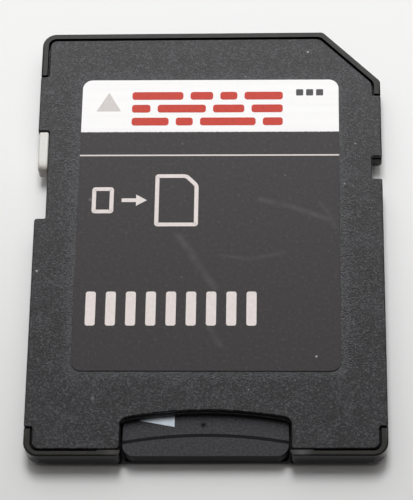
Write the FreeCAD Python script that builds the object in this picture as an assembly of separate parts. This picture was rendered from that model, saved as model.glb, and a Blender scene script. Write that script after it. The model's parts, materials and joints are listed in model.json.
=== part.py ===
import FreeCAD, Part
import math
import os
from FreeCAD import Vector

# A full-size memory card adapter with a small memory card in its slot.
# Millimetres. The card lies on its contact side, +Y points to the contact edge and +X to the cut corner.
# The origin is the middle of the underside.

# Outer body
body_width = 24.0
body_length = 32.0
corner_radius = 1.0
cut_corner = 4.0
cut_corner_blend = 0.4
rail_width = 0.75
rail_underside = 0.7
rail_edge_round = 0.38
lower_corner_radius = 0.75
bottom_edge_round = 0.58

# Heights from the table up through the slot: floor, small card and cover
floor_thickness = 0.56
card_lift = 0.04
card_thickness = 0.7
roof_clearance = 0.06
roof_pad_thickness = 0.38
cover_thickness = 0.36

# Rim of the lower cover that shows round both ends of the upper cover
rim_drop = 0.02
rim_width_side = 0.43
rim_width_front = 0.4
rim_width_rear = 0.34
rim_round = 0.13
rim_length_front_left = 3.37
rim_length_front_right = 5.07
rim_length_rear = 1.91
rim_mouth_length = 1.5
rim_mouth_widening = 0.07
cover_gap_side = 0.13
cover_gap_front = 0.16
cover_gap_rear = 0.14
cover_gap_step = 0.13
cover_corner_radius = 0.5
cover_cut_blend = 0.65
cover_step_radius = 0.14
cover_edge_break = 0.06

# Walls inside the lower cover
side_wall = 0.75
front_wall = 1.1
cut_corner_wall = 0.55
rear_wall = 1.1
slot_wall = 1.2
cross_wall = 1.0
channel_wall = 0.5

# Label film
label_thickness = 0.08
label_margin_side = 2.98
label_margin_front = 3.92
label_margin_rear = 5.94
label_corner_radius = 0.7
label_turn = -0.25

# Long notch with the lock switch, on the left, and the short notch on the right
lock_notch_setback = 7.88
lock_notch_length = 6.8
lock_notch_depth = 0.77
lock_notch_corner = 0.12
lock_notch_lead = 0.2
side_notch_setback = 10.02
side_notch_length = 1.73
side_notch_depth = 0.72
side_notch_corner = 0.12
side_notch_lead = 0.12
side_notch_ledge = 0.06
switch_length = 2.9
switch_drop = 0.12
switch_inset = 0.06
switch_clearance = 0.04
switch_edge_round = 0.12
switch_rear_round = 0.35
channel_depth = 0.77
channel_height = 0.84
channel_lip_width = 0.25
channel_lip_height = 0.2

# Small card
card_length = 15.0
card_inset = 0.12
card_width = 11.0
card_shoulder = 1.3
shoulder_start = 4.6
shoulder_end = 5.3
catch_start = 6.4
catch_depth = 0.62
catch_floor = 0.8
catch_end = 8.04
card_front_radius = 0.5
card_rear_radius = 0.8
grip_rise = 0.3
grip_depth = 1.73
grip_bow = 0.51
grip_edge_round = 0.05
grip_slope = 0.4
card_clearance = 0.1
mouth_round = 0.35
mouth_flare = 1.05
mouth_floor_setback = 0.12

# Contact pads on the small card
card_pad_margin = 1.0
card_pad_setback = 0.6
card_pad_length = 2.9
card_pad_width = 0.8
card_pad_thickness = 0.03

# Curved finger cut-out in the upper cover
cutout_clearance = 0.05
cutout_depth = 3.19
cutout_bow = 0.58
cutout_corner = 0.55
cutout_mouth_round = 0.25
cutout_lip = 0.09

# Stamped contact leads
lead_thickness = 0.15
lead_bend = 0.16
lead_run_width = 0.6
contact_recess = 0.7
contact_margin_right = 2.625
contact_side_gap = 0.05
contact_spacing = 0.6
contact_tip_gap = 0.08
contact_length = 4.4
contact_taper = 0.8
contact_seat = 0.15
contact_hook = 0.3
ground_tail = 1.6
finger_width = 0.5
finger_reach = 2.3
finger_rise = 1.7
finger_tip = 0.8
finger_root = 1.5
finger_step_start = 0.75
finger_step_end = 0.19
finger_sink = 0.24
finger_gap = 0.02
finger_slot_clearance = 0.12
well_clearance = 0.1

# Hold-down ribs under the upper cover
rib_width = 0.7
rib_clearance = 0.15

# Side spring
spring_thickness = 0.12
spring_length = 6.4
spring_foot = 0.7
spring_height = 0.5
spring_bow = 0.4
spring_bend = 0.6
spring_gap = 0.02
spring_setback = 5.0

# Levels and places that follow from the sizes above
half_width = body_width / 2
front_edge = body_length / 2
rear_edge = -body_length / 2
lower_half = half_width - rail_width
card_bottom = floor_thickness + card_lift
card_top = card_bottom + card_thickness
roof = card_top + roof_clearance
parting = roof + roof_pad_thickness
cover_top = parting + cover_thickness
rim_top = cover_top - rim_drop
slot_half = card_width / 2 + card_clearance
card_rear = rear_edge + card_inset
card_front = card_rear + card_length
slot_end = card_front + card_clearance
inner_half = lower_half - side_wall
lead_top = contact_recess + lead_thickness
lead_middle = contact_recess + lead_thickness / 2
contact_front = front_edge - front_wall - contact_tip_gap
contact_rear = contact_front - contact_length
BEYOND = 1.0
ABOVE = cover_top + BEYOND

# Host contacts from right to left, in steps of one pitch, with their share of the pitch as width
contacts = [
    ("data2", 0.0, 0.9),
    ("data3", 1.0, 1.0),
    ("command", 2.0, 1.0),
    ("ground_a", 3.0, 1.0),
    ("supply", 4.0, 1.0),
    ("clock", 5.0, 1.0),
    ("ground_b", 6.0, 1.0),
    ("data0", 6.97, 0.84),
    ("data1", 7.65, 0.74),
]
last_name, last_step, last_share = contacts[-1]
first_contact = half_width - contact_margin_right
contact_span = first_contact + inner_half - contact_side_gap
contact_pitch = (contact_span + contact_spacing * last_share / 2) / (last_step + last_share / 2)
contact_width = contact_pitch - contact_spacing
card_pad_names = [name for name, step, share in contacts if name != "ground_a"]
card_nose = card_width - card_shoulder
card_pad_pitch = (card_nose - 2 * card_pad_margin) / (len(card_pad_names) - 1)


def rounded_wire(corners):
    """Closed flat outline through (x, y, radius) corners, with tangent arcs at the rounded ones."""
    turns = []
    for i, (x, y, radius) in enumerate(corners):
        here = Vector(x, y, 0)
        before = Vector(corners[i - 1][0], corners[i - 1][1], 0) - here
        after = Vector(corners[(i + 1) % len(corners)][0], corners[(i + 1) % len(corners)][1], 0) - here
        before.normalize()
        after.normalize()
        half_angle = before.getAngle(after) / 2
        reach = radius / math.tan(half_angle)
        inward = before + after
        if radius > 0:
            inward.normalize()
        middle = here + inward * (radius / math.sin(half_angle) - radius)
        turns.append((here + before * reach, middle, here + after * reach, radius))
    edges = []
    for i, (start, middle, end, radius) in enumerate(turns):
        if radius > 0:
            edges.append(Part.Arc(start, middle, end).toShape())
        edges.append(Part.LineSegment(end, turns[(i + 1) % len(turns)][0]).toShape())
    return Part.Wire(edges)


def prism(corners, low, high):
    """Upright solid on a rounded outline, between two heights."""
    solid = Part.Face(rounded_wire(corners)).extrude(Vector(0, 0, high - low))
    return solid.translated(Vector(0, 0, low))


def block(x0, x1, y0, y1, z0, z1):
    return Part.makeBox(x1 - x0, y1 - y0, z1 - z0, Vector(x0, y0, z0))


def strip_corners(points, thickness, bend):
    """Outline of a bent strip of even thickness along a flat path, with rounded bends."""
    path = [Vector(a, b, 0) for a, b in points]
    left = []
    right = []
    for i, here in enumerate(path):
        coming = here - path[i - 1] if i > 0 else path[1] - here
        going = path[i + 1] - here if i < len(path) - 1 else here - path[i - 1]
        coming.normalize()
        going.normalize()
        side = Vector(-coming.y - going.y, coming.x + going.x, 0)
        side.normalize()
        offset = side * (thickness / 2 / side.dot(Vector(-coming.y, coming.x, 0)))
        turn = coming.x * going.y - coming.y * going.x
        is_end = i in (0, len(path) - 1)
        lean = math.copysign(thickness / 2, turn)
        left.append((here.x + offset.x, here.y + offset.y, 0 if is_end else bend - lean))
        right.append((here.x - offset.x, here.y - offset.y, 0 if is_end else bend + lean))
    return left + right[::-1]


def bent_strip(points, thickness, bend, centre_x, width):
    """Strip bent in the YZ plane along (y, z) points, of a width along X."""
    strip = prism(strip_corners(points, thickness, bend), -width / 2, width / 2)
    strip.rotate(Vector(0, 0, 0), Vector(1, 1, 1), 120)
    return strip.translated(Vector(centre_x, 0, 0))


def picked_edges(solid, pick):
    """Every edge whose end points and middle the pick function accepts."""
    chosen = []
    for edge in solid.Edges:
        spots = [vertex.Point for vertex in edge.Vertexes]
        spots.append(edge.valueAt((edge.FirstParameter + edge.LastParameter) / 2))
        if all(pick(spot) for spot in spots):
            chosen.append(edge)
    return chosen


def round_edges(solid, radius, pick):
    return solid.makeFillet(radius, picked_edges(solid, pick))


def at_height(level):
    return lambda spot: abs(spot.z - level) < 1e-4


def joined(solids):
    """One solid from solids that overlap or meet."""
    return solids[0].multiFuse(solids[1:]).removeSplitter()


def plan_outline(side, front, rear, cut, radius, blend):
    """Card plan with one cut corner, where cut is the value of x + y on the slanted edge."""
    return [
        (-side, rear, radius),
        (side, rear, radius),
        (side, cut - side, blend),
        (cut - front, front, blend),
        (-side, front, radius),
    ]


def rail_rounding():
    """Cutting tools that round the lower outer edge of both rails."""
    axis_x = half_width - rail_edge_round
    axis_z = rail_underside + rail_edge_round
    rear = rear_edge - BEYOND
    square = block(axis_x, half_width + BEYOND, rear, front_edge + BEYOND, rail_underside - BEYOND, axis_z)
    rod = Part.makeCylinder(rail_edge_round, front_edge + BEYOND - rear, Vector(axis_x, rear, axis_z),
                            Vector(0, 1, 0))
    right = square.cut(rod)
    return [right, right.mirror(Vector(0, 0, 0), Vector(1, 0, 0))]


def finger_cutout(rearward):
    """Cutting tool for the finger cut-out: straight sides and a bowed front edge, from the rear."""
    half = slot_half + cutout_clearance
    centre_front = rear_edge + cutout_depth - rearward
    bow_radius = (half ** 2 + cutout_bow ** 2) / (2 * cutout_bow)
    tool = block(-half, half, rear_edge - BEYOND, centre_front + BEYOND, 0, ABOVE)
    bow = Part.makeCylinder(bow_radius, ABOVE, Vector(0, centre_front - bow_radius, 0))
    tool = tool.common(bow)
    return round_edges(tool, cutout_corner,
                       lambda spot: spot.y > rear_edge and abs(abs(spot.x) - half) < 1e-4)


def slot_outline():
    """Plan of the small card's slot, flared with rounded ends at its mouth."""
    shoulder = card_shoulder - card_clearance
    flare = slot_half + mouth_flare
    outside = rear_edge - BEYOND
    return [
        (-slot_half, slot_end, 0),
        (-slot_half, rear_edge, mouth_round),
        (-flare, rear_edge, 0),
        (-flare, outside, 0),
        (flare, outside, 0),
        (flare, rear_edge, 0),
        (slot_half, rear_edge, mouth_round),
        (slot_half, card_front - shoulder_end + card_clearance, 0),
        (slot_half - shoulder, card_front - shoulder_start + card_clearance, 0),
        (slot_half - shoulder, slot_end, 0),
    ]


def notch_tools(ledge):
    """Cutting tools for the two side notches, with a ledge of this width at the front of the right one."""
    lock_front = front_edge - lock_notch_setback
    lock_floor = lock_notch_depth - half_width
    lock_rear = lock_front - lock_notch_length
    lock = [
        (-half_width - BEYOND, lock_rear - BEYOND, 0),
        (-half_width, lock_rear - BEYOND, 0),
        (-half_width, lock_rear, lock_notch_lead),
        (lock_floor, lock_rear, lock_notch_corner),
        (lock_floor, lock_front, lock_notch_corner),
        (-half_width - BEYOND, lock_front, 0),
    ]
    side_front = front_edge - side_notch_setback
    side_floor = half_width - side_notch_depth
    side_rear = side_front - side_notch_length
    side = [
        (half_width + BEYOND, side_rear - BEYOND, 0),
        (half_width, side_rear - BEYOND, 0),
        (half_width, side_rear, side_notch_lead),
        (side_floor, side_rear, side_notch_corner),
        (side_floor, side_front - ledge, side_notch_corner),
        (half_width + BEYOND, side_front - ledge, 0),
    ]
    return [prism(lock, rail_underside, ABOVE), prism(side, rail_underside, ABOVE)]


def contact_places():
    """Name, centre, pad width and front end of every host contact."""
    places = []
    for name, step, share in contacts:
        centre = first_contact - step * contact_pitch
        width = contact_width * share
        slant = half_width + front_edge - cut_corner - math.sqrt(2) * cut_corner_wall
        tip = min(contact_front, slant - centre - contact_pitch / 2 - contact_tip_gap)
        places.append((name, centre, width, tip))
    return places


def card_pad_places():
    """Centre of every pad under the small card, by name, from right to left."""
    first = card_width / 2 - card_shoulder - card_pad_margin
    return {name: first - i * card_pad_pitch for i, name in enumerate(card_pad_names)}


def lead_chamber():
    """Plan of the chamber that holds the leads, clear of the lock switch's channel."""
    front = front_edge - front_wall
    first_front = contact_places()[0][3] + contact_tip_gap
    split = first_contact - contact_pitch / 2
    narrow = half_width - lock_notch_depth - channel_depth - channel_wall
    step = front_edge - lock_notch_setback + channel_wall
    return [
        (-narrow, slot_end, 0),
        (inner_half, slot_end, 0),
        (inner_half, first_front, 0),
        (split, first_front, 0),
        (split, front, 0),
        (-inner_half, front, 0),
        (-inner_half, step + inner_half - narrow, 0),
        (-narrow, step, 0),
    ]


def spring_back():
    """X of the wall that the side spring's feet lie on."""
    return -card_width / 2 - spring_gap - spring_thickness - spring_bow


def make_lower_cover():
    cut = half_width + front_edge - cut_corner
    lower = prism(plan_outline(lower_half, front_edge, rear_edge, cut,
                               lower_corner_radius, lower_corner_radius), 0, rail_underside)
    lower = round_edges(lower, bottom_edge_round, at_height(0))
    upper = prism(plan_outline(half_width, front_edge, rear_edge, cut, corner_radius, cut_corner_blend),
                  rail_underside, rim_top)
    upper = round_edges(upper, rim_round, at_height(rim_top))
    tub = joined([lower, upper])

    # Seat of the upper cover: inside the rim at both ends, and over the full width between them
    seat_cut = cut - math.sqrt(2) * rim_width_front
    seat = prism(plan_outline(half_width - rim_width_side, front_edge - rim_width_front,
                              rear_edge + rim_width_rear, seat_cut,
                              corner_radius - rim_width_side, cover_cut_blend), parting, ABOVE)
    mouth_half = slot_half + rim_mouth_length
    seat = seat.cut(block(-mouth_half, mouth_half, rear_edge, rear_edge + rim_width_rear + rim_mouth_widening,
                          parting, ABOVE))
    left = block(-half_width - BEYOND, 0, rear_edge + rim_length_rear, front_edge - rim_length_front_left,
                 parting, ABOVE)
    right = block(0, half_width + BEYOND, rear_edge + rim_length_rear, front_edge - rim_length_front_right,
                  parting, ABOVE)
    cuts = [seat, left, right] + notch_tools(side_notch_ledge) + rail_rounding()

    # Slot for the small card, open at the rear edge, with its floor set back there
    cuts.append(prism(slot_outline(), floor_thickness, ABOVE))
    cuts.append(block(-slot_half, slot_half, rear_edge - BEYOND, rear_edge + mouth_floor_setback,
                      -BEYOND, ABOVE))

    # Chamber for the leads, and light pockets on both sides of the slot
    cuts.append(prism(lead_chamber(), contact_recess, ABOVE))
    pocket_front = slot_end - cross_wall
    pocket_rear = rear_edge + rear_wall
    pocket_inner = slot_half + slot_wall
    cuts.append(block(pocket_inner, inner_half, pocket_rear, pocket_front, floor_thickness, ABOVE))
    cuts.append(block(-inner_half, -pocket_inner, pocket_rear, pocket_front, floor_thickness, ABOVE))

    # Contact windows, open at the front edge, with a rib between neighbours
    for name, centre, width, tip in contact_places():
        half = width / 2 - contact_seat
        cuts.append(block(centre - half, centre + half, contact_rear, front_edge + BEYOND,
                          -BEYOND, contact_recess))

    # Slots in the floor for the spring fingers
    slot_front = slot_end + finger_root - lead_bend
    slot_rear = card_front - finger_reach - finger_tip - well_clearance
    well = card_bottom - finger_gap - lead_thickness - finger_sink - well_clearance
    half = finger_width / 2 + finger_slot_clearance
    for centre in card_pad_places().values():
        cuts.append(block(centre - half, centre + half, slot_rear, slot_front, well, ABOVE))

    # Channel of the lock switch, behind a low lip
    channel_front = front_edge - lock_notch_setback
    channel_rear = channel_front - lock_notch_length
    notch_floor = lock_notch_depth - half_width
    lip = notch_floor + channel_lip_width
    channel_floor = parting - channel_height
    cuts.append(block(lip, notch_floor + channel_depth, channel_rear, channel_front, channel_floor, ABOVE))
    cuts.append(block(notch_floor - BEYOND, lip, channel_rear, channel_front,
                      channel_floor + channel_lip_height, ABOVE))

    # Recess of the side spring
    spring_front = card_front - spring_setback
    spring_rear = spring_front - spring_length
    cuts.append(block(spring_back(), 0, spring_rear - card_clearance, spring_front + card_clearance,
                      floor_thickness, ABOVE))
    return tub.cut(cuts).removeSplitter()


def make_upper_cover():
    side = half_width - rim_width_side - cover_gap_side
    front = front_edge - rim_width_front - cover_gap_front
    rear = rear_edge + rim_width_rear + cover_gap_rear
    cut = half_width + front_edge - cut_corner - math.sqrt(2) * (rim_width_front + cover_gap_front)
    rear_step = rear_edge + rim_length_rear + cover_gap_step
    right_step = front_edge - rim_length_front_right - cover_gap_step
    left_step = front_edge - rim_length_front_left - cover_gap_step
    outline = [
        (-side, rear, cover_corner_radius),
        (side, rear, cover_corner_radius),
        (side, rear_step, cover_step_radius),
        (half_width, rear_step, cover_step_radius),
        (half_width, right_step, cover_step_radius),
        (side, right_step, cover_step_radius),
        (side, cut - side, cover_cut_blend),
        (cut - front, front, cover_cut_blend),
        (-side, front, cover_corner_radius),
        (-side, left_step, cover_step_radius),
        (-half_width, left_step, cover_step_radius),
        (-half_width, rear_step, cover_step_radius),
        (-side, rear_step, cover_step_radius),
    ]
    plate = prism(outline, parting, cover_top).cut(notch_tools(0) + [finger_cutout(0)])
    plate = round_edges(plate, cutout_mouth_round,
                        lambda spot: abs(spot.y - rear) < 1e-4 and abs(spot.x) < slot_half + BEYOND)
    plate = plate.makeChamfer(cover_edge_break, picked_edges(plate, at_height(cover_top)))

    # Roof pad that fills the slot above the small card, with a lip along the cut-out
    pad_half = slot_half - cutout_clearance
    shoulder = card_shoulder + cutout_clearance
    pad_outline = [
        (-pad_half, rear_edge, 0),
        (pad_half, rear_edge, 0),
        (pad_half, card_front - shoulder_end, 0),
        (pad_half - shoulder, card_front - shoulder_start, 0),
        (pad_half - shoulder, slot_end, 0),
        (-pad_half, slot_end, 0),
    ]
    pad = prism(pad_outline, roof, parting).cut(finger_cutout(cutout_lip))

    # Ribs that hold the leads down: behind the spring fingers, behind the contacts and on their front ends
    stop_half = slot_half - card_shoulder - rib_clearance
    ribs = [block(-slot_half + rib_clearance, stop_half, slot_end, slot_end + rib_width, lead_top, parting)]
    rib_half = inner_half - rib_clearance
    ribs.append(block(-rib_half, rib_half, contact_rear - rib_width, contact_rear, lead_top, parting))
    front_rib = contact_front - lead_thickness - 2 * lead_bend
    last_half = contact_places()[1][1] + contact_width / 2
    ribs.append(block(-rib_half, last_half, front_rib - rib_width, front_rib, lead_top, parting))
    return joined([plate, pad] + ribs)


def make_front_label():
    side = half_width - label_margin_side
    front = front_edge - label_margin_front
    rear = rear_edge + label_margin_rear
    outline = [(x, y, label_corner_radius) for x, y in
               [(-side, rear), (side, rear), (side, front), (-side, front)]]
    label = prism(outline, cover_top, cover_top + label_thickness)
    label.rotate(Vector(0, (front + rear) / 2, 0), Vector(0, 0, 1), label_turn)
    return label


def make_lock_switch():
    front = front_edge - lock_notch_setback - switch_clearance
    rear = front - switch_length
    notch_floor = lock_notch_depth - half_width
    thumb = block(-half_width + switch_inset, notch_floor - switch_clearance, rear, front,
                  rail_underside + switch_clearance, cover_top - switch_drop)
    thumb = round_edges(thumb, switch_rear_round,
                        lambda spot: abs(spot.y - rear) < 1e-4 and spot.z > parting)
    inner_face = notch_floor - switch_clearance
    thumb = round_edges(thumb, lock_notch_corner,
                        lambda spot: abs(spot.x - inner_face) < 1e-4
                        and min(abs(spot.y - front), abs(spot.y - rear)) < 1e-4)
    thumb = round_edges(thumb, switch_edge_round, lambda spot: spot.x < -half_width + switch_inset + 1e-4)
    lip = notch_floor + channel_lip_width
    channel_floor = parting - channel_height
    neck_low = channel_floor + channel_lip_height + switch_clearance
    tongue_top = parting - switch_clearance
    neck = block(notch_floor - switch_clearance, lip + switch_clearance, rear, front, neck_low, tongue_top)
    tongue = block(lip + switch_clearance, notch_floor + channel_depth - switch_clearance, rear, front,
                   channel_floor + switch_clearance, tongue_top)
    return joined([thumb, neck, tongue])


def make_side_spring():
    """Leaf with two feet on the recess wall and a bow that reaches towards the small card."""
    foot = spring_back() + spring_thickness / 2
    front = card_front - spring_setback
    rear = front - spring_length
    crest = foot + spring_bow
    middle = (front + rear) / 2
    path = [
        (foot, front),
        (foot, front - spring_foot),
        (crest, middle + spring_foot / 2),
        (crest, middle - spring_foot / 2),
        (foot, rear + spring_foot),
        (foot, rear),
    ]
    low = card_bottom + (card_thickness - spring_height) / 2
    return prism(strip_corners(path, spring_thickness, spring_bend), low, low + spring_height)


def make_lead(name, centre, width, tip):
    """Stamped lead: hooked front end, flat contact, slanted run and, where it has one, a spring finger."""
    level = lead_middle
    flat_front = tip - lead_thickness - 2 * lead_bend
    hook = [
        (tip - lead_thickness / 2, level + contact_hook),
        (tip - lead_thickness / 2, level),
        (flat_front, level),
    ]
    pieces = [bent_strip(hook, lead_thickness, lead_bend, centre, width)]
    finger_x = card_pad_places().get(name)
    run_rear = slot_end + finger_root
    run_x = finger_x
    if finger_x is None:
        run_rear = contact_rear - contact_taper - ground_tail
        run_x = centre
    half = width / 2
    run = lead_run_width / 2
    plan = [
        (centre - half, flat_front, 0),
        (centre - half, contact_rear, 0),
        (centre - run, contact_rear - contact_taper, 0),
        (run_x - run, run_rear, 0),
        (run_x + run, run_rear, 0),
        (centre + run, contact_rear - contact_taper, 0),
        (centre + half, contact_rear, 0),
        (centre + half, flat_front, 0),
    ]
    pieces.append(prism(plan, contact_recess, lead_top))
    if finger_x is not None:
        crest = card_bottom - finger_gap - lead_thickness / 2
        sunk = crest - finger_sink
        finger = [
            (run_rear, level),
            (slot_end + finger_step_start, level),
            (slot_end + finger_step_end, sunk),
            (card_front - finger_reach + finger_rise, sunk),
            (card_front - finger_reach, crest),
            (card_front - finger_reach - finger_tip, sunk),
        ]
        pieces.append(bent_strip(finger, lead_thickness, lead_bend, finger_x, finger_width))
    return joined(pieces)


def make_card_body():
    side = card_width / 2
    nose = side - card_shoulder
    outline = [
        (-side, card_rear, card_rear_radius),
        (side, card_rear, card_rear_radius),
        (side, card_front - catch_end, 0),
        (side - catch_depth, card_front - catch_start - catch_floor, 0),
        (side - catch_depth, card_front - catch_start, 0),
        (side, card_front - catch_start, 0),
        (side, card_front - shoulder_end, 0),
        (nose, card_front - shoulder_start, 0),
        (nose, card_front, card_front_radius),
        (-side, card_front, card_front_radius),
    ]
    body = prism(outline, card_bottom, card_top)

    # Raised grip along the rear edge, with a bowed and sloping front
    grip_top = card_top + grip_rise
    bow_radius = (side ** 2 + grip_bow ** 2) / (2 * grip_bow)
    bow_centre = card_rear + grip_depth - bow_radius
    slope_radius = bow_radius - grip_slope
    cone = Part.makeCone(bow_radius, slope_radius, grip_rise, Vector(0, bow_centre, card_top))
    grip = prism(outline[:2] + [(side, card_front, 0), (-side, card_front, 0)], card_top, grip_top)
    body = joined([body, grip.common(cone)])
    body = round_edges(body, grip_edge_round,
                       lambda spot: abs(spot.z - grip_top) < 1e-4
                       and spot.y < card_rear + card_rear_radius + 1e-4
                       and abs(math.hypot(spot.x, spot.y - bow_centre) - slope_radius) > 1e-3)
    return body.cut(list(make_card_pads().values()))


def make_card_pads():
    front = card_front - card_pad_setback
    half = card_pad_width / 2
    pads = {}
    for name, centre in card_pad_places().items():
        pads[name] = block(centre - half, centre + half, front - card_pad_length, front,
                           card_bottom, card_bottom + card_pad_thickness)
    return pads


def all_nodes():
    nodes = {
        "lower_cover": make_lower_cover(),
        "upper_cover": make_upper_cover(),
        "front_label": make_front_label(),
        "lock_switch": make_lock_switch(),
        "side_spring": make_side_spring(),
        "inner_card_body": make_card_body(),
    }
    for name, pad in make_card_pads().items():
        nodes["inner_card_pad_" + name] = pad
    for name, centre, width, tip in contact_places():
        nodes["lead_" + name] = make_lead(name, centre, width, tip)
    return nodes


os.makedirs("parts", exist_ok=True)
for node, shape in all_nodes().items():
    box = shape.BoundBox
    print(f"{node}: {len(shape.Solids)} solid, valid {shape.isValid()}, {shape.Volume:.3f} mm3, "
          f"{box.XLength:.2f} x {box.YLength:.2f} x {box.ZLength:.2f} mm")
    shape.exportStep(f"parts/{node}.step")
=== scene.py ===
# %% [markdown]
# # A memory card adapter, dressed for the camera
#
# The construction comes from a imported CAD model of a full-size memory card adapter with a small memory
# card in its slot. This lesson gives every piece its finish: broken edges on the mouldings, grain in the
# black plastic, a printed label film, gold on the contacts, and a plain studio around it all.
# Everything is in metres, in the same frame as the CAD model, so nothing has to be fitted.

# %% Load the frame
import json
import math

import bpy
from mathutils import Matrix, Vector

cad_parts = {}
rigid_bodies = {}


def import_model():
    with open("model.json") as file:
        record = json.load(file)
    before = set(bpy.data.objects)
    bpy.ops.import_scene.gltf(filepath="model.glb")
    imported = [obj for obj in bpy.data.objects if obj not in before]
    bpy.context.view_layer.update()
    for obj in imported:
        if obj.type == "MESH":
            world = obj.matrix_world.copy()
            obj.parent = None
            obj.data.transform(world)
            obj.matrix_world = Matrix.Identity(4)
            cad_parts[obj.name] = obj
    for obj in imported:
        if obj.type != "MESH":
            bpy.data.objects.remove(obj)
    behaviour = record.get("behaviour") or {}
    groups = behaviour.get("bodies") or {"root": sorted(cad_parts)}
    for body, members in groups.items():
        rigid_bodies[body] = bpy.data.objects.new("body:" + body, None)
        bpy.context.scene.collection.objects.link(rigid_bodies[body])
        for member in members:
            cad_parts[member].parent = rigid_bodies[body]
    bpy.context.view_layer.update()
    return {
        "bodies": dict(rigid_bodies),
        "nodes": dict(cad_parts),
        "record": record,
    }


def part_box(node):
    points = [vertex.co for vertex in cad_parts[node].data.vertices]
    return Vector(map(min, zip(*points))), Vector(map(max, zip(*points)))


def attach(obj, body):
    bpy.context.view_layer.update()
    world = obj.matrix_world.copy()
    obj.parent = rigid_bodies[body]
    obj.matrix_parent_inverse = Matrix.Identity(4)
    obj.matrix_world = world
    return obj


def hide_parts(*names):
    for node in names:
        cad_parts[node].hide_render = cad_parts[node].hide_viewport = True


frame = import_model()
MM = 0.001

# %% [markdown]
# ## The camera
#
# The photograph was taken from the rear edge's side, looking down at about 65 degrees, with a long lens.
# The straight edges of the card body, whose size is standard, give the angles, the distance and the focal
# length. A camera could be aimed with a Track To constraint, but the small roll about its own axis is
# easier to give as three axes in a matrix.

# %% Axes of the camera
CAMERA_TILT = math.radians(25.229)
CAMERA_YAW = math.radians(5.326)
CAMERA_ROLL = math.radians(-5.094)

back = Vector((math.sin(CAMERA_YAW) * math.sin(CAMERA_TILT),
               -math.cos(CAMERA_YAW) * math.sin(CAMERA_TILT),
               math.cos(CAMERA_TILT)))
level_right = Vector((math.cos(CAMERA_YAW), math.sin(CAMERA_YAW), 0.0))
level_up = back.cross(level_right)
right = math.cos(CAMERA_ROLL) * level_right + math.sin(CAMERA_ROLL) * level_up
up = math.cos(CAMERA_ROLL) * level_up - math.sin(CAMERA_ROLL) * level_right
print("the camera looks along", [round(-value, 3) for value in back])

# %% Place the camera
# The sensor's width goes to the longer side of the picture, which is its height.
AIM = Vector((-0.174, -0.170, 0.0)) * MM
CAMERA_DISTANCE = 154.65 * MM
FOCAL_PIXELS = 2234.0
PHOTO_HEIGHT = 500
SENSOR_MM = 36.0
CLIP_START = 5 * MM
CLIP_END = 20.0

bpy.ops.object.camera_add()
camera = bpy.context.object
camera.name = "photo_camera"
turned = Matrix((right, up, back)).transposed().to_4x4()
camera.matrix_world = Matrix.Translation(AIM + back * CAMERA_DISTANCE) @ turned
camera.data.sensor_width = SENSOR_MM
camera.data.lens = FOCAL_PIXELS * SENSOR_MM / PHOTO_HEIGHT
camera.data.clip_start = CLIP_START
camera.data.clip_end = CLIP_END
scene = bpy.context.scene
scene.camera = camera
print("camera at", [round(value / MM, 1) for value in camera.location], "mm")
print("lens of", round(camera.data.lens, 1), "mm")

# %% [markdown]
# ## Helpers for materials
#
# Colours are written as they are picked on a screen, as sRGB hex values, and Blender's shaders want linear
# light, so one function converts them. Another adds a node to a tree, with its settings, its socket values
# and its links, which keeps every material short enough to read. Textures are scaled per metre, so a third
# works their scale out from a real size in millimetres.

# %% Colours
def linear(hex_colour):
    """Linear RGBA of an sRGB hex colour such as '#2b2b2d'."""
    shares = [int(hex_colour[i:i + 2], 16) / 255 for i in (1, 3, 5)]
    curve = [s / 12.92 if s <= 0.04045 else ((s + 0.055) / 1.055) ** 2.4 for s in shares]
    return (*curve, 1.0)


print("black plastic in linear light:", [round(value, 4) for value in linear("#2b2b2d")[:3]])

# %% Nodes and scales
def add(tree, kind, sockets=None, **settings):
    """Adds a node. A socket's value is a number, a colour or another node's output."""
    node = tree.nodes.new(kind)
    for name, value in settings.items():
        setattr(node, name, value)
    for name, value in (sockets or {}).items():
        if isinstance(value, bpy.types.NodeSocket):
            tree.links.new(value, node.inputs[name])
        else:
            node.inputs[name].default_value = value
    return node


def start_material(name):
    """An empty material, its tree and the coordinates of the piece that wears it."""
    material = bpy.data.materials.new(name)
    material.use_nodes = True
    material.node_tree.nodes.clear()
    place = add(material.node_tree, "ShaderNodeTexCoord").outputs["Object"]
    return material, material.node_tree, place


def end_material(tree, shader):
    """Links a shader to the output of its material."""
    add(tree, "ShaderNodeOutputMaterial", {"Surface": shader.outputs[0]})


def per_metre(size_mm):
    """Texture scale whose features are about this size."""
    return 1.0 / (size_mm * MM)


print("texture scale for features of 1 mm:", per_metre(1.0))

# %% [markdown]
# ## The studio
#
# The card lies on a smooth white table, which is one plane, far larger than the view. It is stage, not part
# of the object. In the photograph the table is a little darker on the near side. A lamp that falls off
# would change the card too, so the table's own colour does it.

# %% Table
# Matt laminate looks even and soft, and mirrors nothing sharply.
TABLE_SIZE = 1.6
TABLE_NEAR = -22 * MM
TABLE_FAR = 14 * MM
scene.view_settings.view_transform = "Standard"

bpy.ops.object.select_all(action="DESELECT")
bpy.ops.mesh.primitive_plane_add(size=TABLE_SIZE, location=(0, 0, 0))
table = bpy.context.object
table.name = "table"

table_material, tree, place = start_material("matt_white_laminate")
along = add(tree, "ShaderNodeSeparateXYZ", {"Vector": place}).outputs["Y"]
fall = add(tree, "ShaderNodeMapRange",
           {"Value": along, "From Min": TABLE_NEAR, "From Max": TABLE_FAR},
           interpolation_type="SMOOTHSTEP")
tone = add(tree, "ShaderNodeMix",
           {"Factor": fall.outputs[0], "A": linear("#d5d5d5"), "B": linear("#eeeeee")},
           data_type="RGBA")
surface = add(tree, "ShaderNodeBsdfPrincipled", {"Base Color": tone.outputs["Result"], "Roughness": 0.55})
end_material(tree, surface)
table.data.materials.append(table_material)
print("table of", TABLE_SIZE, "m")

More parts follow.
